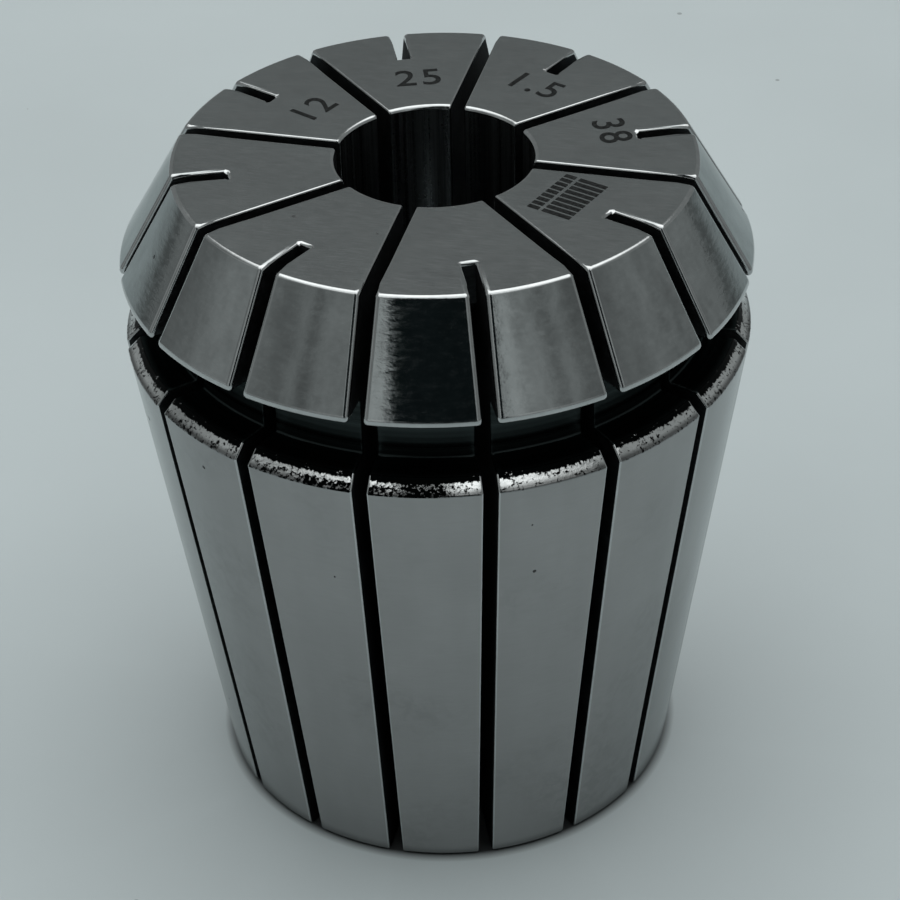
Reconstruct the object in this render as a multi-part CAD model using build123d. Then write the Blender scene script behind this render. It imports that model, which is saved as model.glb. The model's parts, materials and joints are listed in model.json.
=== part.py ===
from build123d import *
from math import atan2, degrees, hypot, radians, sqrt, tan
import os

# Spring collet, size 40, for a half inch shank.  It is one piece of spring
# steel: turned, hardened, ground on both cones and slit from both ends, so
# that its sixteen segments close on the shank together.
# Millimetres.  The axis is Z.  The small rear end is at Z = 0, and the end
# that the clamping nut pushes on is at the top.

# Main sizes
overall_length = 46.0
largest_diameter = 41.0  # where each cone is widest
bore_diameter = 12.7

# Cones, as the angle between the axis and the cone's side
front_cone_angle = 30.0
body_cone_angle = 8.0

# Head and nut groove
head_height = 6.9  # front face down to the underside of the head
head_land = 0.3  # narrow straight band under the front cone
groove_width = 4.1
groove_depth = 2.9

# Edge breaks and rounds of the turned outline
body_chamfer = 0.85
bore_chamfer = 0.2
face_edge_round = 0.3
head_edge_round = 0.25
groove_corner_chamfer = 0.3
rear_edge_chamfer = 0.4

# Slits, cut by a slitting saw from both ends in turn
slits_per_end = 8
slit_width = 0.9
saw_radius = 31.5
saw_overrun = 3.4  # how far the saw dips into the bore, past the wall
front_web_length = 12.0  # along the bore, where a slit from the rear stops
front_web_thickness = 6.85
rear_web_length = 9.5  # along the bore, where a slit from the front stops
rear_web_thickness = 4.0
mouth_break = 0.2  # bevel along both edges of a slit, where it comes out

# Values worked out from the sizes above
bore_radius = bore_diameter / 2
largest_radius = largest_diameter / 2
groove_radius = largest_radius - groove_depth
head_underside = overall_length - head_height
cone_start = head_underside + head_land
face_radius = largest_radius - (overall_length - cone_start) * tan(radians(front_cone_angle))
shoulder_height = head_underside - groove_width
body_top = shoulder_height - body_chamfer
rear_radius = largest_radius - body_top * tan(radians(body_cone_angle))
slit_step = 360 / slits_per_end


# Half of the turned outline, from the axis side outwards, in the XZ plane.
def turned_outline():
    rear_bore_corner = (bore_radius, bore_chamfer)
    rear_face_inner = (bore_radius + bore_chamfer, 0)
    rear_edge = (rear_radius, 0)
    body_edge = (largest_radius, body_top)
    shoulder_edge = (largest_radius - body_chamfer, shoulder_height)
    groove_lower_corner = (groove_radius, shoulder_height)
    groove_upper_corner = (groove_radius, head_underside)
    head_lower_edge = (largest_radius, head_underside)
    head_upper_edge = (largest_radius, cone_start)
    face_edge = (face_radius, overall_length)
    front_face_inner = (bore_radius + bore_chamfer, overall_length)
    front_bore_corner = (bore_radius, overall_length - bore_chamfer)

    with BuildSketch(Plane.XZ) as outline:
        with BuildLine():
            Polyline(
                rear_bore_corner,
                rear_face_inner,
                rear_edge,
                body_edge,
                shoulder_edge,
                groove_lower_corner,
                groove_upper_corner,
                head_lower_edge,
                head_upper_edge,
                face_edge,
                front_face_inner,
                front_bore_corner,
                close=True,
            )
        make_face()
        chamfer(corner_at(outline, rear_edge), rear_edge_chamfer)
        chamfer(corner_at(outline, groove_lower_corner), groove_corner_chamfer)
        chamfer(corner_at(outline, groove_upper_corner), groove_corner_chamfer)
        fillet(corner_at(outline, head_lower_edge), head_edge_round)
        fillet(corner_at(outline, face_edge), face_edge_round)
    return outline.sketch


# The corner of the outline that lies at the given radius and height.
def corner_at(outline, place):
    return outline.vertices().sort_by_distance(place)[0]


# The metal that one pass of the saw takes out on the +X side.  The pass stops
# short of the end at Z = 0 and leaves a web there: the saw's own arc, then a
# shallower floor that runs out through the end.
def saw_pass(web_length, web_thickness):
    saw_centre = bore_radius - saw_overrun + saw_radius
    rim_to_bore = sqrt(saw_radius**2 - (saw_radius - saw_overrun) ** 2)
    stop = web_length + rim_to_bore
    past_the_end = overall_length + saw_radius
    floor_radius = bore_radius + web_thickness
    with BuildPart() as cut:
        with BuildSketch(Plane.XZ):
            with Locations((saw_centre, stop)):
                Circle(saw_radius)
            with Locations((saw_centre, stop)):
                Rectangle(2 * saw_radius, past_the_end, align=(Align.CENTER, Align.MIN))
            with Locations((floor_radius, -saw_radius)):
                Rectangle(2 * saw_radius, past_the_end, align=(Align.MIN, Align.MIN))
        extrude(amount=slit_width / 2, both=True)
    return cut.part


# A square file drawn along the middle of a slit, from one point of the outline
# to another.  It bevels both edges of the slit's mouth.
def mouth_bevel(start, end):
    reach_across = slit_width / 2 + mouth_break
    run = (end[0] - start[0], end[1] - start[1])
    middle = Pos(X=(start[0] + end[0]) / 2, Z=(start[1] + end[1]) / 2)
    along = Rot(Y=-degrees(atan2(run[1], run[0])))
    side = sqrt(2) * reach_across
    return middle * along * Rot(X=45) * Box(hypot(*run), side, side)


# One whole slit on the +X side: the saw's pass and the bevels of its mouth on
# both cones and on both end faces, which it crosses from the given radii.
def slit(cut, front_start, rear_start):
    front_face = mouth_bevel((front_start, overall_length), (face_radius, overall_length))
    front_cone = mouth_bevel((face_radius, overall_length), (largest_radius, cone_start))
    long_cone = mouth_bevel((largest_radius, body_top), (rear_radius, 0))
    rear_face = mouth_bevel((rear_start, 0), (rear_radius, 0))
    return cut + front_face + front_cone + long_cone + rear_face


# Eight copies of one slit, spread evenly from the given angle.
def ring_of_slits(cut, first_angle):
    return [Rot(Z=first_angle + i * slit_step) * cut for i in range(slits_per_end)]


def make_collet():
    blank = revolve(turned_outline(), axis=Axis.Z)
    front_pass = saw_pass(rear_web_length, rear_web_thickness)
    rear_pass = saw_pass(front_web_length, front_web_thickness)
    rear_pass = Pos(Z=overall_length) * Rot(X=180) * rear_pass
    front_slit = slit(front_pass, 0, bore_radius + rear_web_thickness)
    rear_slit = slit(rear_pass, bore_radius + front_web_thickness, 0)
    slits = ring_of_slits(front_slit, 0) + ring_of_slits(rear_slit, slit_step / 2)
    collet = blank - slits
    collet.label = "collet"
    return collet


os.makedirs("parts", exist_ok=True)
export_step(make_collet(), "parts/collet.step")
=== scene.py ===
import json
import math

import bmesh
import bpy
from mathutils import Matrix, Vector


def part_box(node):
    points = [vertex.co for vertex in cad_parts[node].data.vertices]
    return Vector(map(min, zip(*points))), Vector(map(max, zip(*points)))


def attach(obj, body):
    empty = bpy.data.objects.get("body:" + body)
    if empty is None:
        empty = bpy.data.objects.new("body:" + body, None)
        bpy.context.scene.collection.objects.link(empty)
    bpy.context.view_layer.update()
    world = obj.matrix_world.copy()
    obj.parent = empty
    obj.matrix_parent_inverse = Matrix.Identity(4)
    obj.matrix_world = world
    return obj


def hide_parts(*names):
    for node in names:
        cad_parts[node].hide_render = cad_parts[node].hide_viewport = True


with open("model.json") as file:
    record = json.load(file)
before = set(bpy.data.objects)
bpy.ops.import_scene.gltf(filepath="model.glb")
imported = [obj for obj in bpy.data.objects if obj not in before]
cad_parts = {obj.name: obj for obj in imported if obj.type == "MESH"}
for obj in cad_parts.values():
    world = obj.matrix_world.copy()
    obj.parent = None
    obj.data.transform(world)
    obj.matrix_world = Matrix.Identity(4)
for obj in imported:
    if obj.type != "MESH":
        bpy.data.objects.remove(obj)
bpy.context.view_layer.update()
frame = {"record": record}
print("frame loaded")

millimetre = 0.001
tiny = 1e-4  # mm, how close two points count as one


cameraSetup = {
    "bearing": 14.469,  # degrees round from the front, seen from above
    "distance": 0.15609,  # m along the floor from the collet's axis
    "height": 0.13499,
    "aside": 0.188,  # degrees that it looks past the axis
    "down": 35.696,
    "roll": -1.486,
    "lens": 112.67,  # mm on a 36 mm sensor
}


def turnedTo(bearing, point):
    return Matrix.Rotation(math.radians(bearing), 4, "Z") @ Vector(point)


def placeCamera(setup):
    data = bpy.data.cameras.new("camera")
    data.sensor_width = 36
    data.lens = setup["lens"]
    data.clip_start = 0.01
    data.clip_end = 20
    camera = bpy.data.objects.new("camera", data)
    bpy.context.scene.collection.objects.link(camera)
    camera.location = turnedTo(setup["bearing"], (0, -setup["distance"], setup["height"]))
    swing = Matrix.Rotation(math.radians(setup["bearing"] - setup["aside"]), 4, "Z")
    lift = Matrix.Rotation(math.radians(90 - setup["down"]), 4, "X")
    roll = Matrix.Rotation(math.radians(setup["roll"]), 4, "Z")
    camera.rotation_euler = (swing @ lift @ roll).to_euler()
    bpy.context.scene.camera = camera


placeCamera(cameraSetup)
print("camera placed")


# Short ways to add nodes.
def newMaterial(name):
    material = bpy.data.materials.new(name)
    material.use_nodes = True
    material.node_tree.nodes.clear()
    return material


def addNode(tree, kind, settings=None, **inputs):
    node = tree.nodes.new(kind)
    for key, value in (settings or {}).items():
        setattr(node, key, value)
    for key, value in inputs.items():
        socket = node.inputs[key.replace("_", " ")]
        if isinstance(value, bpy.types.NodeSocket):
            tree.links.new(value, socket)
        else:
            socket.default_value = value
    return node


def mathNode(tree, operation, *values):
    node = tree.nodes.new("ShaderNodeMath")
    node.operation = operation
    for socket, value in zip(node.inputs, values):
        if isinstance(value, bpy.types.NodeSocket):
            tree.links.new(value, socket)
        else:
            socket.default_value = value
    return node.outputs[0]


def remap(tree, value, fromLow, fromHigh, toLow, toHigh):
    node = addNode(tree, "ShaderNodeMapRange", {"clamp": True}, Value=value)
    for name, number in (
        ("From Min", fromLow),
        ("From Max", fromHigh),
        ("To Min", toLow),
        ("To Max", toHigh),
    ):
        node.inputs[name].default_value = number
    return node.outputs["Result"]


def mixColours(tree, factor, first, second):
    node = tree.nodes.new("ShaderNodeMix")
    node.data_type = "RGBA"
    for socket, value in zip((node.inputs[0], node.inputs[6], node.inputs[7]), (factor, first, second)):
        if isinstance(value, bpy.types.NodeSocket):
            tree.links.new(value, socket)
        else:
            socket.default_value = value
    return node.outputs[2]


def newGroup(name, inputs, outputs):
    group = bpy.data.node_groups.new(name, "ShaderNodeTree")
    for label, kind, default in inputs:
        socket = group.interface.new_socket(name=label, in_out="INPUT", socket_type=kind)
        if default is not None:
            socket.default_value = default
    for label, kind in outputs:
        group.interface.new_socket(name=label, in_out="OUTPUT", socket_type=kind)
    return group, group.nodes.new("NodeGroupInput"), group.nodes.new("NodeGroupOutput")


def useGroup(tree, group, **inputs):
    node = tree.nodes.new("ShaderNodeGroup")
    node.node_tree = group
    for key, value in inputs.items():
        socket = node.inputs[key.replace("_", " ")]
        if isinstance(value, bpy.types.NodeSocket):
            tree.links.new(value, socket)
        else:
            socket.default_value = value
    return node


# Millimetres from object coordinates, and for turned marks the radius and height.
def makePlaces():
    group, into, out = newGroup(
        "places", [], [("Millimetres", "NodeSocketVector"), ("Rings", "NodeSocketVector")]
    )
    coords = addNode(group, "ShaderNodeTexCoord")
    mm = addNode(
        group, "ShaderNodeVectorMath", {"operation": "SCALE"},
        Vector=coords.outputs["Object"], Scale=1 / millimetre,
    )
    split = addNode(group, "ShaderNodeSeparateXYZ", Vector=mm.outputs[0])
    flat = addNode(group, "ShaderNodeCombineXYZ", X=split.outputs["X"], Y=split.outputs["Y"])
    radius = addNode(group, "ShaderNodeVectorMath", {"operation": "LENGTH"}, Vector=flat.outputs[0])
    rings = addNode(group, "ShaderNodeCombineXYZ", X=radius.outputs["Value"], Y=split.outputs["Z"])
    group.links.new(mm.outputs[0], out.inputs["Millimetres"])
    group.links.new(rings.outputs[0], out.inputs["Rings"])
    return group


# Fine lines left by a stone or a tool: noise stretched by the given scales.
def makeToolLines():
    group, into, out = newGroup(
        "toolLines",
        [
            ("Vector", "NodeSocketVector", None),
            ("Stretch", "NodeSocketVector", None),
            ("Detail", "NodeSocketFloat", 3.0),
        ],
        [("Value", "NodeSocketFloat")],
    )
    stretched = addNode(
        group, "ShaderNodeVectorMath", {"operation": "MULTIPLY"}, Vector=into.outputs["Vector"]
    )
    group.links.new(into.outputs["Stretch"], stretched.inputs[1])
    noise = addNode(
        group, "ShaderNodeTexNoise",
        Vector=stretched.outputs[0], Scale=1.0, Detail=into.outputs["Detail"], Roughness=0.6,
    )
    group.links.new(noise.outputs["Fac"], out.inputs["Value"])
    return group


# Small dark pits and specks, few and sharp.
def makeSpecks():
    group, into, out = newGroup(
        "specks",
        [
            ("Vector", "NodeSocketVector", None),
            ("Scale", "NodeSocketFloat", 1.0),
            ("Amount", "NodeSocketFloat", 0.1),
        ],
        [("Mask", "NodeSocketFloat")],
    )
    cells = addNode(
        group, "ShaderNodeTexVoronoi", {"feature": "F1"},
        Vector=into.outputs["Vector"], Scale=into.outputs["Scale"],
    )
    split = addNode(group, "ShaderNodeSeparateColor", Color=cells.outputs["Color"])
    size = mathNode(group, "MULTIPLY", split.outputs["Green"], 0.16)
    chosen = mathNode(group, "LESS_THAN", split.outputs["Red"], into.outputs["Amount"])
    inside = mathNode(group, "LESS_THAN", cells.outputs["Distance"], size)
    mask = mathNode(group, "MULTIPLY", chosen, inside)
    group.links.new(mask, out.inputs["Mask"])
    return group


# Long thin scratches that run every way: two sets of warped, stretched lines.
def makeScratches():
    group, into, out = newGroup(
        "scratches",
        [
            ("Vector", "NodeSocketVector", None),
            ("Scale", "NodeSocketFloat", 1.0),
            ("Amount", "NodeSocketFloat", 0.5),
        ],
        [("Mask", "NodeSocketFloat")],
    )
    masks = []
    for turn in ((0.3, 0.9, 0.5), (1.3, 0.2, 2.1)):
        mapping = addNode(
            group, "ShaderNodeMapping", Vector=into.outputs["Vector"], Rotation=turn, Scale=(0.12, 1.0, 0.35)
        )
        warp = addNode(group, "ShaderNodeTexNoise", Vector=mapping.outputs[0], Scale=0.35, Detail=1.0)
        moved = addNode(group, "ShaderNodeVectorMath", {"operation": "ADD"}, Vector=mapping.outputs[0])
        group.links.new(warp.outputs["Color"], moved.inputs[1])
        cells = addNode(
            group, "ShaderNodeTexVoronoi", {"feature": "DISTANCE_TO_EDGE"},
            Vector=moved.outputs[0], Scale=into.outputs["Scale"],
        )
        masks.append(remap(group, cells.outputs["Distance"], 0.0, 0.012, 1.0, 0.0))
    both = mathNode(group, "MAXIMUM", masks[0], masks[1])
    patches = addNode(group, "ShaderNodeTexNoise", Vector=into.outputs["Vector"], Scale=0.35, Detail=2.0)
    shown = remap(group, patches.outputs["Fac"], 0.5, 0.62, 0.0, 1.0)
    mask = mathNode(group, "MULTIPLY", mathNode(group, "MULTIPLY", both, shown), into.outputs["Amount"])
    group.links.new(mask, out.inputs["Mask"])
    return group


# Dull, cloudy patches with a mottled edge, where hands and oil have been.
def makeStains():
    group, into, out = newGroup(
        "stains", [("Vector", "NodeSocketVector", None)], [("Mask", "NodeSocketFloat")]
    )
    patches = addNode(group, "ShaderNodeTexNoise", Vector=into.outputs["Vector"], Scale=0.11, Detail=2.0)
    mottle = addNode(
        group, "ShaderNodeTexNoise", Vector=into.outputs["Vector"], Scale=1.3, Detail=3.0, Distortion=0.6
    )
    shown = remap(group, patches.outputs["Fac"], 0.50, 0.66, 0.0, 1.0)
    broken = remap(group, mottle.outputs["Fac"], 0.40, 0.62, 0.15, 1.0)
    mask = mathNode(group, "MULTIPLY", shown, broken)
    group.links.new(mask, out.inputs["Mask"])
    return group


places = makePlaces()
toolLines = makeToolLines()
specks = makeSpecks()
scratches = makeScratches()
stains = makeStains()


# Every finish is the same steel; what differs is how it was cut, except that the
# groove, the rear edge and the slit walls are painted nearly black as painted shade
# and the broken edges are burnished lighter and also painted lighter as a painted
# highlight.  Grazing is the tint at a shallow angle.  Lines are the fine marks of the
# tool and streaks are the broad ones, in waves to the millimetre along x, y and z;
# depths are in mm.
finishes = {
    "lappedFace": {
        "tone": (0.382, 0.402, 0.403), "roughness": 0.19, "grazing": (0.9, 0.92, 0.92),
        "across": "Millimetres",
        "lines": (0.8, 9.0, 1.0), "lineDepth": 0.0012, "lineTone": 0.05, "lineRoughness": 0.2,
        "streaks": (0.35, 0.9, 0.5), "streakDepth": 0.003, "streakTone": 0.03,
        "grainDepth": 0.0004, "specks": 0.02, "scratches": 0.3, "stains": 0.05,
    },
    "groundFrontCone": {
        "tone": (0.368, 0.388, 0.388), "roughness": 0.09, "grazing": (0.75, 0.77, 0.77),
        "across": "Millimetres",
        "lines": (1.5, 1.5, 3.2), "lineDepth": 0.006, "lineTone": 0.07, "lineRoughness": 0.75,
        "streaks": (0.9, 0.9, 0.03), "streakDepth": 0.006, "streakTone": 0.10,
        "grainDepth": 0.0006, "specks": 0.02, "scratches": 0.2, "stains": 0.16,
    },
    "groundLongCone": {
        "tone": (0.32, 0.322, 0.32), "roughness": 0.17, "grazing": (0.9, 0.92, 0.92),
        "across": "Millimetres",
        "lines": (0.7, 0.7, 8.0), "lineDepth": 0.002, "lineTone": 0.03, "lineRoughness": 0.2,
        "streaks": (0.5, 0.5, 0.04), "streakDepth": 0.006, "streakTone": 0.03,
        "grainDepth": 0.0008, "specks": 0.04, "scratches": 0.4, "stains": 0.12,
    },
    # The groove finish is painted near black: painted shade down in the nut groove, and a painted shadow line
    # along the rear edge where it meets the floor; its tool lines are the real turned finish.
    "turnedGroovePaintedShade": {
        "tone": (0.022, 0.028, 0.028), "roughness": 0.34, "grazing": (0.3, 0.3, 0.3),
        "across": "Rings",
        "lines": (4.0, 5.0, 1.0), "lineDepth": 0.006, "lineTone": 0.35, "lineRoughness": 0.3,
        "streaks": (1.6, 1.8, 1.0), "streakDepth": 0.01, "streakTone": 0.6,
        "grainDepth": 0.002, "specks": 0.05, "scratches": 0.0, "stains": 0.2,
    },
    "honedBore": {
        "tone": (0.20, 0.215, 0.22), "roughness": 0.30, "grazing": (0.6, 0.6, 0.6),
        "across": "Millimetres",
        "lines": (4.0, 4.0, 0.05), "lineDepth": 0.004, "lineTone": 0.6, "lineRoughness": 0.2,
        "streaks": (0.9, 0.9, 0.02), "streakDepth": 0.01, "streakTone": 0.5,
        "grainDepth": 0.0008, "specks": 0.05, "scratches": 0.1, "stains": 0.1,
    },
    # The slit walls are painted nearly black: painted shade down inside the narrow slits.
    "sawnSlitPaintedShade": {
        "tone": (0.05, 0.054, 0.056), "roughness": 0.5, "grazing": (0.4, 0.4, 0.4),
        "across": "Millimetres",
        "lines": (2.0, 2.0, 6.0), "lineDepth": 0.01, "lineTone": 0.3, "lineRoughness": 0.1,
        "streaks": (0.5, 0.5, 0.5), "streakDepth": 0.0, "streakTone": 0.3,
        "grainDepth": 0.002, "specks": 0.0, "scratches": 0.0, "stains": 0.2,
    },
    # Broken edges are lighter than the rest: partly real burnished metal, partly a painted highlight along
    # the rounds.
    "brokenEdgeAndHighlight": {
        "tone": (0.46, 0.475, 0.475), "roughness": 0.16, "grazing": (1.0, 1.0, 1.0),
        "across": "Millimetres",
        "lines": (2.0, 2.0, 2.0), "lineDepth": 0.006, "lineTone": 0.06, "lineRoughness": 0.2,
        "streaks": (0.6, 0.6, 0.6), "streakDepth": 0.004, "streakTone": 0.05,
        "grainDepth": 0.0008, "specks": 0.0, "scratches": 0.0, "stains": 0.0,
    },
}


# What each kind of mark does to the steel; depths are in mm.
wear = {
    "speckTone": 0.25,
    "speckRoughness": 0.3,
    "speckDepth": 0.02,
    "scratchRoughness": 0.1,
    "scratchDepth": 0.002,
}


# A finish leaves out the specks, scratches or stains that it has none of.
def steelMaterial(name, finish):
    material = newMaterial(name)
    tree = material.node_tree
    place = useGroup(tree, places)
    mm = place.outputs["Millimetres"]
    across = place.outputs[finish["across"]]
    lines = useGroup(tree, toolLines, Vector=across, Stretch=finish["lines"], Detail=4.0)
    streaks = useGroup(tree, toolLines, Vector=across, Stretch=finish["streaks"], Detail=2.0)
    clouds = addNode(tree, "ShaderNodeTexNoise", Vector=mm, Scale=0.16, Detail=3.0)
    grain = addNode(tree, "ShaderNodeTexNoise", Vector=mm, Scale=7.0, Detail=3.0)

    rough = finish["roughness"]
    spread = finish["lineRoughness"]
    roughness = remap(tree, lines.outputs["Value"], 0.3, 0.7, rough * (1 - spread), rough * (1 + spread))
    roughness = mathNode(tree, "MULTIPLY", roughness, remap(tree, grain.outputs["Fac"], 0.3, 0.7, 0.9, 1.12))
    tones = []
    depths = [(streaks.outputs["Value"], finish["streakDepth"]), (grain.outputs["Fac"], finish["grainDepth"])]
    if finish["specks"]:
        speck = useGroup(tree, specks, Vector=mm, Scale=0.9, Amount=finish["specks"]).outputs["Mask"]
        roughness = mathNode(tree, "MULTIPLY_ADD", speck, wear["speckRoughness"], roughness)
        tones.append((speck, wear["speckTone"]))
        depths.append((speck, -wear["speckDepth"]))
    if finish["scratches"]:
        scratch = useGroup(tree, scratches, Vector=mm, Scale=0.5, Amount=finish["scratches"]).outputs["Mask"]
        roughness = mathNode(tree, "MULTIPLY_ADD", scratch, wear["scratchRoughness"], roughness)
        depths.append((scratch, -wear["scratchDepth"]))
    if finish["stains"]:
        stain = useGroup(tree, stains, Vector=mm).outputs["Mask"]
        tones.append((stain, 1 - finish["stains"]))

    level = remap(tree, clouds.outputs["Fac"], 0.35, 0.65, 0.97, 1.03)
    for marks, spread in ((lines, finish["lineTone"]), (streaks, finish["streakTone"])):
        change = remap(tree, marks.outputs["Value"], 0.3, 0.7, 1 - spread, 1 + spread)
        level = mathNode(tree, "MULTIPLY", level, change)
    for mask, share in tones:
        level = mathNode(tree, "MULTIPLY", level, remap(tree, mask, 0.0, 1.0, 1.0, share))
    colour = addNode(tree, "ShaderNodeVectorMath", {"operation": "SCALE"}, Scale=level)
    colour.inputs[0].default_value = finish["tone"]

    # height in mm
    height = mathNode(tree, "MULTIPLY", lines.outputs["Value"], finish["lineDepth"])
    for value, depth in depths:
        height = mathNode(tree, "MULTIPLY_ADD", value, depth, height)
    bump = addNode(tree, "ShaderNodeBump", Height=height, Strength=1.0, Distance=millimetre)

    shader = addNode(
        tree, "ShaderNodeBsdfPrincipled",
        Base_Color=colour.outputs[0], Roughness=roughness, Normal=bump.outputs[0], Metallic=1.0,
    )
    shader.inputs["Specular Tint"].default_value = (*finish["grazing"], 1)
    output = addNode(tree, "ShaderNodeOutputMaterial")
    tree.links.new(shader.outputs[0], output.inputs["Surface"])
    return material


# The chamfer over the long cone was never ground: black scale on its upper side
# and a band of bright, grainy metal under it, duller along its lower edge.
# Angles are degrees round the axis from +X.
roughChamfer = {
    "bright": (0.72, 0.735, 0.73),
    "scale": (0.0015, 0.002, 0.002),
    "bandLow": 34.31,  # mm, the height of the bright band
    "bandHigh": 34.69,
    "bandSoft": 0.06,
    "lowTone": 0.3,  # of the metal under the band
    "pits": 0.60,  # lower leaves more scale in the band
    "patches": 0.35,  # how unevenly the scale lies
    "aboveBand": 0.32,  # how much more of it there is over the band
    "grainSize": 4.6,  # waves to the millimetre
    "depth": 0.009,
    "roughness": (0.13, 0.5),  # of the metal and of the scale
    # places, by angle round the axis, where the black comes further down the chamfer
    "blackSpots": [
        {"angle": -79.6, "reach": 4.3, "below": 35.0, "amount": 0.22},
        {"angle": -93.0, "reach": 8.5, "below": 34.48, "amount": 0.11},
        {"angle": -111.0, "reach": 27.0, "below": 34.5, "amount": 0.08},
    ],
}


def chamferMaterial(name, look):
    material = newMaterial(name)
    tree = material.node_tree
    place = useGroup(tree, places)
    mm = place.outputs["Millimetres"]
    split = addNode(tree, "ShaderNodeSeparateXYZ", Vector=mm)
    angle = mathNode(tree, "DEGREES", mathNode(tree, "ARCTAN2", split.outputs["Y"], split.outputs["X"]))
    grain = addNode(
        tree, "ShaderNodeTexNoise", Vector=mm, Scale=look["grainSize"], Detail=3.0, Roughness=0.6
    )
    patches = addNode(tree, "ShaderNodeTexNoise", Vector=mm, Scale=0.7, Detail=2.0)
    soft = look["bandSoft"]
    rise = split.outputs["Z"]
    above = remap(tree, rise, look["bandHigh"] - soft, look["bandHigh"] + soft, 0.0, look["aboveBand"])
    cover = mathNode(tree, "ADD", grain.outputs["Fac"], above)
    uneven = mathNode(tree, "SUBTRACT", patches.outputs["Fac"], 0.5)
    cover = mathNode(tree, "MULTIPLY_ADD", uneven, look["patches"], cover)
    for spot in look["blackSpots"]:
        away = mathNode(tree, "ABSOLUTE", mathNode(tree, "SUBTRACT", angle, spot["angle"]))
        near = remap(tree, away, spot["reach"] - 1.5, spot["reach"] + 1.0, spot["amount"], 0.0)
        lower = remap(tree, rise, spot["below"] - soft, spot["below"] + soft, 1.0, 0.0)
        cover = mathNode(tree, "MULTIPLY_ADD", near, lower, cover)
    scale = remap(tree, cover, look["pits"] - 0.05, look["pits"] + 0.05, 0.0, 1.0)
    lowTone = remap(tree, rise, look["bandLow"] - 0.1, look["bandLow"] + 0.1, look["lowTone"], 1.0)
    metal = addNode(tree, "ShaderNodeVectorMath", {"operation": "SCALE"}, Scale=lowTone)
    metal.inputs[0].default_value = look["bright"]
    colour = mixColours(tree, scale, metal.outputs[0], (*look["scale"], 1))
    roughness = remap(tree, scale, 0.0, 1.0, *look["roughness"])
    bump = addNode(
        tree, "ShaderNodeBump", Height=grain.outputs["Fac"], Strength=1.0, Distance=look["depth"] * millimetre
    )
    shader = addNode(
        tree, "ShaderNodeBsdfPrincipled",
        Base_Color=colour, Roughness=roughness, Normal=bump.outputs[0], Metallic=1.0,
    )
    output = addNode(tree, "ShaderNodeOutputMaterial")
    tree.links.new(shader.outputs[0], output.inputs["Surface"])
    return material


steel = {name: steelMaterial(name, finish) for name, finish in finishes.items()}
steel["roughChamfer"] = chamferMaterial("roughChamfer", roughChamfer)
finishNames = list(steel)
print("steel finishes made")


boreMount = next(m for m in frame["record"]["mounts"] if m["name"] == "shank_bore")
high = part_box("collet")[1]
slitWidth = 0.9
collet = {
    "length": high.z / millimetre,
    "largestRadius": math.hypot(high.x / millimetre, slitWidth / 2),
    "boreRadius": boreMount["dims"]["r_mm"],
    "slitWidth": slitWidth,
    "slitsPerEnd": 8,
    "frontConeAngle": 30.0,
    "longConeAngle": 8.0,
    "headHeight": 6.96,
    "headLand": 0.44,
    "grooveWidth": 4.1,
    "grooveDepth": 2.9,
    "bodyChamfer": 0.85,
    "faceSink": 0.02,  # leaves room for the etching inside the part's own height
    "sawRadius": 31.5,
    "sawOverrun": 3.4,
    "frontWeb": {"length": 12.0, "thickness": 6.85},
    "rearWeb": {"length": 9.5, "thickness": 4.0},
    "endRound": 0.25,  # where the short slits end on the front face
    "coneMouthRound": 0.28,  # slit edges on the front cone
    "mouthRound": 0.12,  # and everywhere else
    "columns": 12,  # of faces across one segment
    "cornerSegments": 4,
}


# The turned outline as (radius, height, rounding) in mm.
def outlineCorners(c):
    top = c["length"] - c["faceSink"]
    coneStart = c["length"] - c["headHeight"] + c["headLand"]
    underHead = coneStart - c["headLand"]
    shoulder = underHead - c["grooveWidth"]
    bodyTop = shoulder - c["bodyChamfer"]
    wide = c["largestRadius"]
    grooveRadius = wide - c["grooveDepth"]
    faceRadius = wide - (top - coneStart) * math.tan(math.radians(c["frontConeAngle"]))
    rearRadius = wide - bodyTop * math.tan(math.radians(c["longConeAngle"]))
    bore = c["boreRadius"]
    return [
        (bore, 0, 0.28),
        (bore + c["rearWeb"]["thickness"], 0, 0),
        (rearRadius, 0, 0.4),
        (wide, bodyTop, 0.15),
        (wide - c["bodyChamfer"], shoulder, 0.15),
        (grooveRadius, shoulder, 0.2),
        (grooveRadius, underHead, 0.35),
        (wide, underHead, 0.27),
        (wide, coneStart, 0.5),
        (faceRadius, top, 0.32),
        (bore + c["frontWeb"]["thickness"], top, 0),
        (bore, top, 0.28),
        (bore, c["length"] - c["frontWeb"]["length"], 0),
        (bore, c["rearWeb"]["length"], 0),
    ]


def drawOutline(bm, corners, segments):
    verts = [bm.verts.new((radius, 0, height)) for radius, height, rounding in corners]
    face = bm.faces.new(verts)
    for i, (vert, corner) in enumerate(zip(verts, corners)):
        if not corner[2]:
            continue
        here = Vector(corner[:2])
        before = here - Vector(corners[i - 1][:2])
        after = Vector(corners[(i + 1) % len(corners)][:2]) - here
        turn = before.angle(after)
        bmesh.ops.bevel(
            bm, geom=[vert], offset=corner[2] * math.tan(turn / 2), offset_type="OFFSET",
            segments=segments, profile=0.5, affect="VERTICES", material=-1,
        )
    bmesh.ops.delete(bm, geom=bm.faces[:], context="FACES_ONLY")


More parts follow.
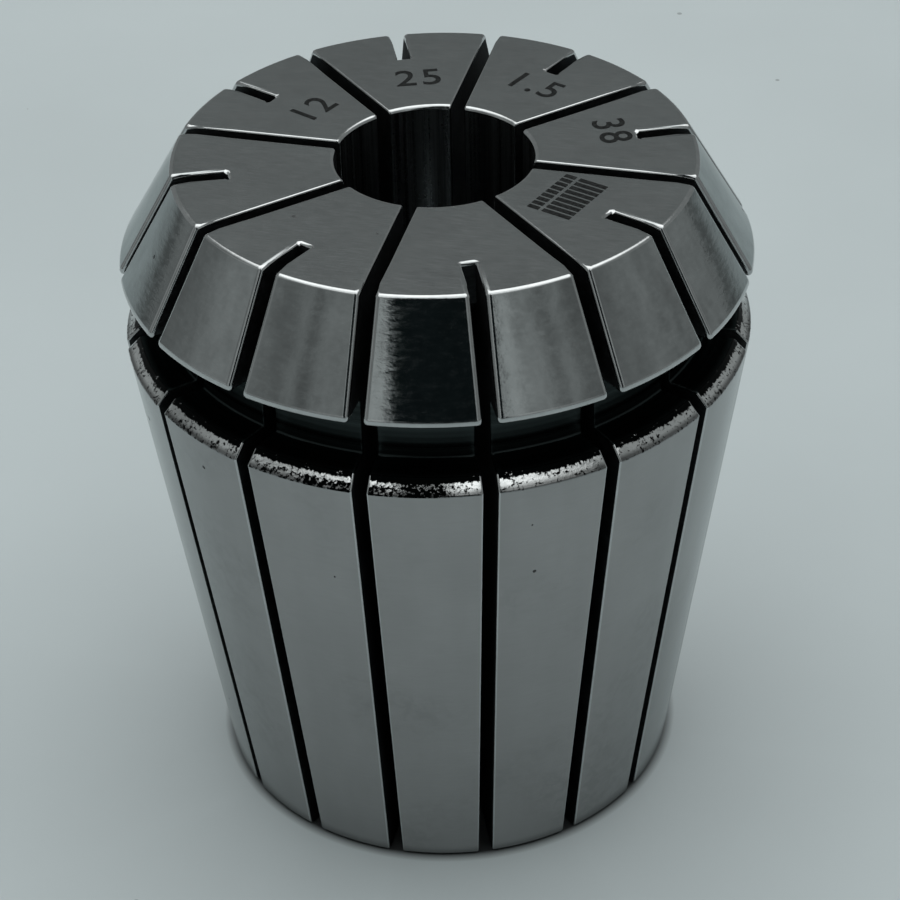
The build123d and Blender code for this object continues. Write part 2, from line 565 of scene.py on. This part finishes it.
# Moves the columns of a spun segment so that the first and the last lie on the
# flat walls of the slits, with a supporting column close beside each.
def fitBetweenSlits(bm, c, tile):
    support = c["coneMouthRound"] + 0.08
    for vert in bm.verts:
        radius = math.hypot(vert.co.x, vert.co.y)
        column = round(math.atan2(vert.co.y, vert.co.x) / tile * c["columns"])
        wall = math.asin(c["slitWidth"] / 2 / radius)
        beside = math.asin((c["slitWidth"] / 2 + support) / radius)
        if column == 0:
            angle = wall
        elif column == c["columns"]:
            angle = tile - wall
        else:
            share = (column - 1) / (c["columns"] - 2)
            angle = beside + share * (tile - 2 * beside)
        vert.co.x = radius * math.cos(angle)
        vert.co.y = radius * math.sin(angle)


# Closes the side of a segment that faces the slit on +X.  The slit comes from
# the far end and its web is at height 0: the saw's own arc, then a shallower
# floor that runs out through the end face.
def closeSide(bm, c, web):
    half = c["slitWidth"] / 2
    floorRadius = c["boreRadius"] + web["thickness"]
    rim = [e for e in bm.edges if e.is_boundary and all(abs(v.co.y - half) < tiny for v in e.verts)]
    rimVerts = {v for e in rim for v in e.verts}

    def nearest(radius, height):
        def away(vert):
            return math.hypot(math.hypot(vert.co.x, vert.co.y) - radius, vert.co.z - height)

        return min(rimVerts, key=away)

    arcStart = nearest(c["boreRadius"], web["length"])
    floorEnd = nearest(floorRadius, 0)
    rimToBore = math.sqrt(c["sawRadius"] ** 2 - (c["sawRadius"] - c["sawOverrun"]) ** 2)
    saw = Vector((c["boreRadius"] - c["sawOverrun"] + c["sawRadius"], half, web["length"] + rimToBore))
    reach = (arcStart.co - saw).length
    fromAngle = math.acos((saw.x - arcStart.co.x) / reach)
    toAngle = math.acos((saw.x - floorEnd.co.x) / reach)
    start = bmesh.ops.create_vert(bm, co=arcStart.co)["vert"][0]
    arc = bmesh.ops.spin(
        bm, geom=[start], cent=saw, axis=(0, -1, 0), angle=toAngle - fromAngle, steps=8, use_duplicate=False
    )
    arcEnd = next(g for g in arc["geom_last"] if isinstance(g, bmesh.types.BMVert))
    path = [bm.edges.new((arcEnd, floorEnd))]
    step = arcEnd
    while step is not start:
        edge = next(e for e in step.link_edges if e not in path)
        path.append(edge)
        step = edge.other_vert(step)
    bmesh.ops.weld_verts(bm, targetmap={start: arcStart})
    path = [e for e in path if e.is_valid]
    path += [e for e in arcStart.link_edges if e.is_wire]
    path = list(set(path))

    def onWeb(vert):
        radius = math.hypot(vert.co.x, vert.co.y)
        return vert.co.z < web["length"] + tiny and radius < floorRadius + tiny

    webRim = [e for e in rim if all(onWeb(v) for v in e.verts)]
    wallRim = [e for e in rim if e not in webRim]
    wall = bmesh.ops.contextual_create(bm, geom=wallRim + path)["faces"]
    # the new walls take the slit finish, painted nearly black as painted shade
    for face in wall:
        face.material_index = finishNames.index("sawnSlitPaintedShade")
    floor = bmesh.ops.extrude_edge_only(bm, edges=webRim + path)["geom"]
    for item in floor:
        if isinstance(item, bmesh.types.BMVert):
            item.co.x = math.hypot(item.co.x, item.co.y)
            item.co.y = 0


# Which finish a face has, from where it lies and how it slopes.
def finishOf(face, c):
    middle = face.calc_center_median()
    outward = Vector((middle.x, middle.y, 0)).normalized()
    radius = math.hypot(middle.x, middle.y)
    slope = math.degrees(math.atan2(face.normal.z, face.normal.dot(outward)))
    underHead = c["length"] - c["headHeight"]
    shoulder = underHead - c["grooveWidth"]
    # The rear edge where it turns under is painted near black: a painted shadow along the floor.
    if middle.z < 0.5 and -90 < slope < -28 and radius > c["boreRadius"] + 1:
        return "turnedGroovePaintedShade"  # the rear edge is dark where it turns under
    if abs(slope - 180) < 2 or abs(slope + 180) < 2:
        return "honedBore"
    # The groove is painted near black: painted shade down in the recess under the head.
    if shoulder - tiny < middle.z < underHead + tiny and radius < c["largestRadius"] - c["bodyChamfer"]:
        return "turnedGroovePaintedShade"
    if abs(abs(slope) - 90) < 1:
        return "lappedFace"
    if abs(slope - c["frontConeAngle"]) < 1:
        return "groundFrontCone"
    if abs(slope + c["longConeAngle"]) < 1:
        return "groundLongCone"
    if middle.z > shoulder - c["bodyChamfer"] - 0.1 and middle.z < shoulder + tiny and slope > 0:
        return "roughChamfer"
    return "brokenEdgeAndHighlight"


# The rounded mouth of a slit is painted lighter, partly a real broken edge and partly a painted highlight;
# down in the groove it is painted dark as painted shade, and in the bore it takes the bore's finish.
def edgeFinish(face, c):
    middle = face.calc_center_median()
    radius = math.hypot(middle.x, middle.y)
    underHead = c["length"] - c["headHeight"]
    shoulder = underHead - c["grooveWidth"]
    if shoulder - 0.3 < middle.z < underHead and radius < c["largestRadius"] - 0.3:
        return "turnedGroovePaintedShade"
    if radius < c["boreRadius"] + 0.02:
        return "honedBore"
    return "brokenEdgeAndHighlight"


# The corners along a slit's mouth, where its wall meets the outside.
def mouthEdges(bm):
    slitSide = finishNames.index("sawnSlitPaintedShade")
    found = []
    for edge in bm.edges:
        if len(edge.link_faces) != 2 or not edge.is_convex:
            continue
        sides = [face.material_index == slitSide for face in edge.link_faces]
        if sides[0] != sides[1] and 60 < math.degrees(edge.calc_face_angle()) < 120:
            found.append(edge)
    return found


def onFrontCone(edge, c):
    coneHeight = c["headHeight"] - c["headLand"]
    faceRadius = c["largestRadius"] - coneHeight * math.tan(math.radians(c["frontConeAngle"]))
    radii = [math.hypot(v.co.x, v.co.y) for v in edge.verts]
    heights = [v.co.z for v in edge.verts]
    return min(radii) > faceRadius - 0.3 and min(heights) > c["length"] - c["headHeight"] - tiny


# The end of a short slit runs across it, so its middle is on the front face.
def endsOnFace(edge, c):
    along = (edge.verts[0].co - edge.verts[1].co).normalized()
    middle = (edge.verts[0].co + edge.verts[1].co) / 2
    outward = Vector((middle.x, middle.y, 0)).normalized()
    return middle.z > c["length"] - 0.1 and abs(along.dot(outward)) < 0.1


def roundMouth(bm, edges, size, c):
    rounded = bmesh.ops.bevel(
        bm, geom=edges, offset=size, offset_type="OFFSET", segments=3, profile=0.5,
        affect="EDGES", clamp_overlap=False, material=-1, loop_slide=True,
    )
    bm.normal_update()
    for face in rounded["faces"]:
        face.material_index = finishNames.index(edgeFinish(face, c))


def makeCollet(c):
    tile = math.pi / c["slitsPerEnd"]
    bm = bmesh.new()
    drawOutline(bm, outlineCorners(c), c["cornerSegments"])
    bmesh.ops.spin(
        bm, geom=bm.verts[:] + bm.edges[:], cent=(0, 0, 0), axis=(0, 0, 1),
        angle=tile, steps=c["columns"], use_duplicate=False,
    )
    bmesh.ops.recalc_face_normals(bm, faces=bm.faces[:])
    fitBetweenSlits(bm, c, tile)
    bm.normal_update()
    for face in bm.faces:
        face.material_index = finishNames.index(finishOf(face, c))

    closeSide(bm, c, c["rearWeb"])
    tipOver = Matrix.Translation((0, 0, c["length"])) @ Matrix.Rotation(
        math.pi, 4, Vector((math.cos(tile / 2), math.sin(tile / 2), 0))
    )
    bmesh.ops.transform(bm, matrix=tipOver, verts=bm.verts[:])
    closeSide(bm, c, c["frontWeb"])
    bmesh.ops.transform(bm, matrix=tipOver, verts=bm.verts[:])

    turnBack = Matrix.Rotation(-tile, 4, "Z")
    bmesh.ops.transform(bm, matrix=turnBack, verts=bm.verts[:])
    bmesh.ops.mirror(
        bm, geom=bm.verts[:] + bm.edges[:] + bm.faces[:], matrix=Matrix(), merge_dist=tiny, axis="Y"
    )
    bmesh.ops.transform(bm, matrix=turnBack.inverted(), verts=bm.verts[:])
    copies = c["slitsPerEnd"] - 1
    bmesh.ops.spin(
        bm, geom=bm.verts[:] + bm.edges[:] + bm.faces[:], cent=(0, 0, 0), axis=(0, 0, 1),
        angle=2 * tile * copies, steps=copies, use_duplicate=True,
    )
    bmesh.ops.remove_doubles(bm, verts=bm.verts[:], dist=tiny)
    bmesh.ops.recalc_face_normals(bm, faces=bm.faces[:])
    bm.normal_update()

    roundMouth(bm, [e for e in mouthEdges(bm) if endsOnFace(e, c)], c["endRound"], c)
    roundMouth(bm, [e for e in mouthEdges(bm) if onFrontCone(e, c)], c["coneMouthRound"], c)
    roundMouth(bm, [e for e in mouthEdges(bm) if not onFrontCone(e, c)], c["mouthRound"], c)
    bmesh.ops.recalc_face_normals(bm, faces=bm.faces[:])
    bm.normal_update()
    for face in bm.faces:
        face.smooth = True
    for edge in bm.edges:
        edge.smooth = len(edge.link_faces) == 2 and math.degrees(edge.calc_face_angle()) < 40
    return bm


def addPiece(name, bm):
    bmesh.ops.scale(bm, vec=(millimetre,) * 3, verts=bm.verts[:])
    mesh = bpy.data.meshes.new(name)
    bm.to_mesh(mesh)
    bm.free()
    piece = bpy.data.objects.new(name, mesh)
    bpy.context.scene.collection.objects.link(piece)
    return piece


body = addPiece("slitCollet", makeCollet(collet))
for name in finishNames:
    body.data.materials.append(steel[name])
weighted = body.modifiers.new("crispFlats", "WEIGHTED_NORMAL")
weighted.mode = "FACE_AREA"
weighted.weight = 50
weighted.keep_sharp = True
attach(body, "root")
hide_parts("collet")
print("collet made:", len(body.data.polygons), "faces")


# Plain numbers and a block of bars, tops outwards.  Angles are degrees round
# the axis from +X; the rest is mm.
marks = {
    "numbers": [
        {"text": "12", "angle": 155.7, "radius": 10.0},
        {"text": "25", "angle": 109.5, "radius": 10.2},
        {"text": "1.5", "angle": 67.0, "radius": 11.0},
        {"text": "38", "angle": 26.5, "radius": 11.6},
    ],
    "numberHeight": 2.1,
    "bars": {
        "angle": -20.5, "radius": 10.0, "width": 4.8, "count": 9, "fill": 0.68,
        "rows": [(0.5, 2.0), (-1.15, 0.8)],  # middle and height of each row
    },
    "lift": 0.012,  # above the face
    "stroke": 0.02,  # mm added all round each stroke
    "tone": (0.016, 0.017, 0.017),
    "depth": 0.01,  # mm, of the rough ground in each stroke
}


def placeMark(angle, radius, lift):
    turn = math.radians(angle)
    outward = Vector((math.cos(turn), math.sin(turn), 0)) * radius
    return Matrix.Translation(outward + Vector((0, 0, lift))) @ Matrix.Rotation(turn - math.pi / 2, 4, "Z")


def addNumber(bm, text, height, stroke, place):
    curve = bpy.data.curves.new("number", "FONT")
    curve.body = text
    curve.size = height / 0.7  # figures are 0.7 of the size
    curve.align_x = "CENTER"
    curve.align_y = "CENTER"
    curve.space_character = 1.15
    curve.offset = stroke
    holder = bpy.data.objects.new("number", curve)
    outline = bpy.data.meshes.new_from_object(holder)
    outline.transform(place)
    bm.from_mesh(outline)
    bpy.data.objects.remove(holder)
    bpy.data.meshes.remove(outline)


def makeMarks(m, c):
    bm = bmesh.new()
    lift = c["length"] - c["faceSink"] + m["lift"]
    for number in m["numbers"]:
        place = placeMark(number["angle"], number["radius"], lift)
        addNumber(bm, number["text"], m["numberHeight"], m["stroke"], place)
    bars = m["bars"]
    step = bars["width"] / bars["count"]
    place = placeMark(bars["angle"], bars["radius"], lift)
    for middle, height in bars["rows"]:
        size = Matrix.Diagonal((step * bars["fill"], height, 1, 1))
        for i in range(bars["count"]):
            across = (i - (bars["count"] - 1) / 2) * step
            bar = place @ Matrix.Translation((across, middle, 0)) @ size
            bmesh.ops.create_grid(bm, x_segments=1, y_segments=1, size=0.5, matrix=bar)
    bmesh.ops.remove_doubles(bm, verts=bm.verts[:], dist=tiny)
    bmesh.ops.recalc_face_normals(bm, faces=bm.faces[:])
    for face in bm.faces:
        if face.normal.z < 0:
            face.normal_flip()
    return addPiece("etchedMarks", bm)


def etchMaterial(m):
    material = newMaterial("etching")
    tree = material.node_tree
    place = useGroup(tree, places)
    uneven = addNode(tree, "ShaderNodeTexNoise", Vector=place.outputs["Millimetres"], Scale=5.0, Detail=3.0)
    level = remap(tree, uneven.outputs["Fac"], 0.35, 0.7, 0.6, 2.2)
    colour = addNode(tree, "ShaderNodeVectorMath", {"operation": "SCALE"}, Scale=level)
    colour.inputs[0].default_value = m["tone"]
    bump = addNode(
        tree, "ShaderNodeBump", Height=uneven.outputs["Fac"], Strength=1.0, Distance=m["depth"] * millimetre
    )
    shader = addNode(
        tree, "ShaderNodeBsdfPrincipled",
        Base_Color=colour.outputs[0], Roughness=0.5, Normal=bump.outputs[0], Metallic=1.0,
    )
    output = addNode(tree, "ShaderNodeOutputMaterial")
    tree.links.new(shader.outputs[0], output.inputs["Surface"])
    return material


etched = makeMarks(marks, collet)
etched.data.materials.append(etchMaterial(marks))
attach(etched, "root")
print("marks made")


studio = {
    "floorTone": (0.508, 0.564, 0.574),
    "farTone": (0.12, 0.13, 0.13),
    "farFrom": 250,  # mm from the collet
    "farTo": 700,
    "specks": 0.012,
    # painted shadow: the floor is painted darker close round the collet's foot
    "paintedFootShadow": {"from": 15.5, "to": 16.35, "share": 0.05},  # mm from the axis, the dark under the collet
    # painted shade: the floor is painted darker towards the front right
    "paintedSideShade": {"from": 40, "to": 150, "share": 0.87},  # mm towards the front right
    "wallTone": (0.94, 1.0, 1.0),
    # how bright the walls are, by bearing, from behind the collet round its left
    "wallLevels": [
        (-180, 0.21), (-122, 0.30), (-109, 0.19), (-103, 0.21), (-96, 0.24), (-90, 0.32), (-86, 0.35),
        (-73, 0.34), (-63, 0.21), (-57, 0.20), (-53, 0.29), (-49, 0.16), (-46, 0.25), (-42, 0.31),
        (-34, 0.30), (-29, 0.36), (-24, 0.56), (0, 0.60), (22, 0.54), (27, 0.53), (30, 0.35),
        (36, 0.37), (42, 0.21), (46, 0.32), (53, 0.18), (63, 0.20), (73, 0.24), (82, 0.31),
        (87, 0.25), (91, 0.26), (103, 0.29), (180, 0.21),
    ],
    "ceilingTone": (1.33, 1.37, 1.37),
    "ceilingFrom": 42,  # degrees above the floor
    "ceilingTo": 56,
    "cardTone": (0.008, 0.012, 0.013),
    # each side of the card: its bearing changes from low to high as it rises
    "cardLeft": {"from": 24, "to": 28, "low": -17.5, "high": -22.5},
    "cardRight": {"from": 30, "to": 53, "low": 22.4, "high": 2},
    "cardTop": 64,
    "cardSoft": 1.0,
}


def makeFloor(setup):
    bm = bmesh.new()
    bmesh.ops.create_grid(bm, x_segments=1, y_segments=1, size=1500)
    bmesh.ops.translate(bm, vec=(0, 0, -0.02), verts=bm.verts[:])
    floor = addPiece("floor", bm)
    material = newMaterial("paleFloor")
    tree = material.node_tree
    mm = useGroup(tree, places).outputs["Millimetres"]
    clouds = addNode(tree, "ShaderNodeTexNoise", Vector=mm, Scale=0.02, Detail=4.0)
    level = remap(tree, clouds.outputs["Fac"], 0.3, 0.7, 0.96, 1.04)
    speck = useGroup(tree, specks, Vector=mm, Scale=0.5, Amount=setup["specks"])
    level = mathNode(tree, "MULTIPLY", level, remap(tree, speck.outputs["Mask"], 0.0, 1.0, 1.0, 0.6))
    # painted shade: the floor is painted darker towards the front right
    towards = addNode(tree, "ShaderNodeVectorMath", {"operation": "DOT_PRODUCT"}, Vector=mm)
    towards.inputs[1].default_value = turnedTo(cameraSetup["bearing"] + 35, (0, -1, 0))
    dim = setup["paintedSideShade"]
    dimmed = remap(tree, towards.outputs["Value"], dim["from"], dim["to"], 1.0, dim["share"])
    level = mathNode(tree, "MULTIPLY", level, dimmed)
    away = addNode(tree, "ShaderNodeVectorMath", {"operation": "LENGTH"}, Vector=mm)
    # painted shadow: the floor is painted darker close round the collet's foot
    dark = setup["paintedFootShadow"]
    under = remap(tree, away.outputs["Value"], dark["from"], dark["to"], dark["share"], 1.0)
    level = mathNode(tree, "MULTIPLY", level, under)
    near = addNode(tree, "ShaderNodeVectorMath", {"operation": "SCALE"}, Scale=level)
    near.inputs[0].default_value = setup["floorTone"]
    far = remap(tree, away.outputs["Value"], setup["farFrom"], setup["farTo"], 0.0, 1.0)
    colour = mixColours(tree, far, near.outputs[0], (*setup["farTone"], 1))
    shader = addNode(tree, "ShaderNodeBsdfPrincipled", Base_Color=colour, Roughness=0.7)
    output = addNode(tree, "ShaderNodeOutputMaterial")
    tree.links.new(shader.outputs[0], output.inputs["Surface"])
    floor.data.materials.append(material)


# A dim room under a bright ceiling, with a dark card behind the camera that is
# narrower at its top and has a brighter wall close to both of its sides.
def makeWorld(setup):
    world = bpy.data.worlds.new("studio")
    bpy.context.scene.world = world
    world.use_nodes = True
    tree = world.node_tree
    tree.nodes.clear()
    coords = addNode(tree, "ShaderNodeTexCoord")
    turned = addNode(
        tree, "ShaderNodeVectorRotate", {"rotation_type": "Z_AXIS"},
        Vector=coords.outputs["Generated"], Angle=math.radians(-cameraSetup["bearing"]),
    )
    split = addNode(tree, "ShaderNodeSeparateXYZ", Vector=turned.outputs[0])
    towards = mathNode(tree, "MULTIPLY", split.outputs["Y"], -1.0)
    bearing = mathNode(tree, "DEGREES", mathNode(tree, "ARCTAN2", split.outputs["X"], towards))
    height = mathNode(tree, "DEGREES", mathNode(tree, "ARCSINE", split.outputs["Z"]))

    walls = addNode(tree, "ShaderNodeValToRGB", Fac=remap(tree, bearing, -180, 180, 0.0, 1.0))
    stops = walls.color_ramp.elements
    while len(stops) < len(setup["wallLevels"]):
        stops.new(0.5)
    for stop, (turn, level) in zip(stops, setup["wallLevels"]):
        stop.position = (turn + 180) / 360
        stop.color = tuple(level * part for part in setup["wallTone"]) + (1,)
    ceiling = remap(tree, height, setup["ceilingFrom"], setup["ceilingTo"], 0.0, 1.0)
    room = mixColours(tree, ceiling, walls.outputs[0], (*setup["ceilingTone"], 1))

    soft = setup["cardSoft"]
    sides = []
    for side, inside, outside in (("cardLeft", 1.0, 0.0), ("cardRight", 0.0, 1.0)):
        edge = setup[side]
        line = remap(tree, height, edge["from"], edge["to"], edge["low"], edge["high"])
        beyond = mathNode(tree, "SUBTRACT", bearing, line)
        sides.append(remap(tree, beyond, -soft, soft, outside, inside))
    upTo = remap(tree, height, setup["cardTop"] - soft, setup["cardTop"] + soft, 1.0, 0.0)
    card = mathNode(tree, "MULTIPLY", mathNode(tree, "MULTIPLY", sides[0], sides[1]), upTo)
    colour = mixColours(tree, card, room, (*setup["cardTone"], 1))
    background = addNode(tree, "ShaderNodeBackground", Color=colour, Strength=1.0)
    output = addNode(tree, "ShaderNodeOutputWorld")
    tree.links.new(background.outputs[0], output.inputs["Surface"])


# Soft boxes: bearings and heights in degrees as seen from the collet, sizes in
# metres, and how bright each one looks.
softBoxes = {
    "overhead": {"bearing": 170, "height": 70, "reach": 0.9, "width": 1.1, "depth": 0.78, "radiance": 0.84},
}


# A direction as seen by the camera: bearing 0 is towards it and 90 to its right.
def fromCollet(bearing, height, reach):
    angle = math.radians(-90 + cameraSetup["bearing"] + bearing)
    lift = math.radians(height)
    flat = math.cos(lift)
    return Vector((math.cos(angle) * flat, math.sin(angle) * flat, math.sin(lift))) * reach


def makeSoftBox(name, box):
    data = bpy.data.lights.new(name, "AREA")
    data.shape = "RECTANGLE"
    data.size = box["width"]
    data.size_y = box["depth"]
    data.energy = box["radiance"] * math.pi * box["width"] * box["depth"]
    light = bpy.data.objects.new(name, data)
    bpy.context.scene.collection.objects.link(light)
    target = Vector((0, 0, 0.03))
    light.location = target + fromCollet(box["bearing"], box["height"], box["reach"])
    light.rotation_euler = (light.location - target).to_track_quat("Z", "Y").to_euler()


makeFloor(studio)
makeWorld(studio)
for name, box in softBoxes.items():
    makeSoftBox(name, box)
view = bpy.context.scene.view_settings
view.view_transform = "Standard"
print("studio made")
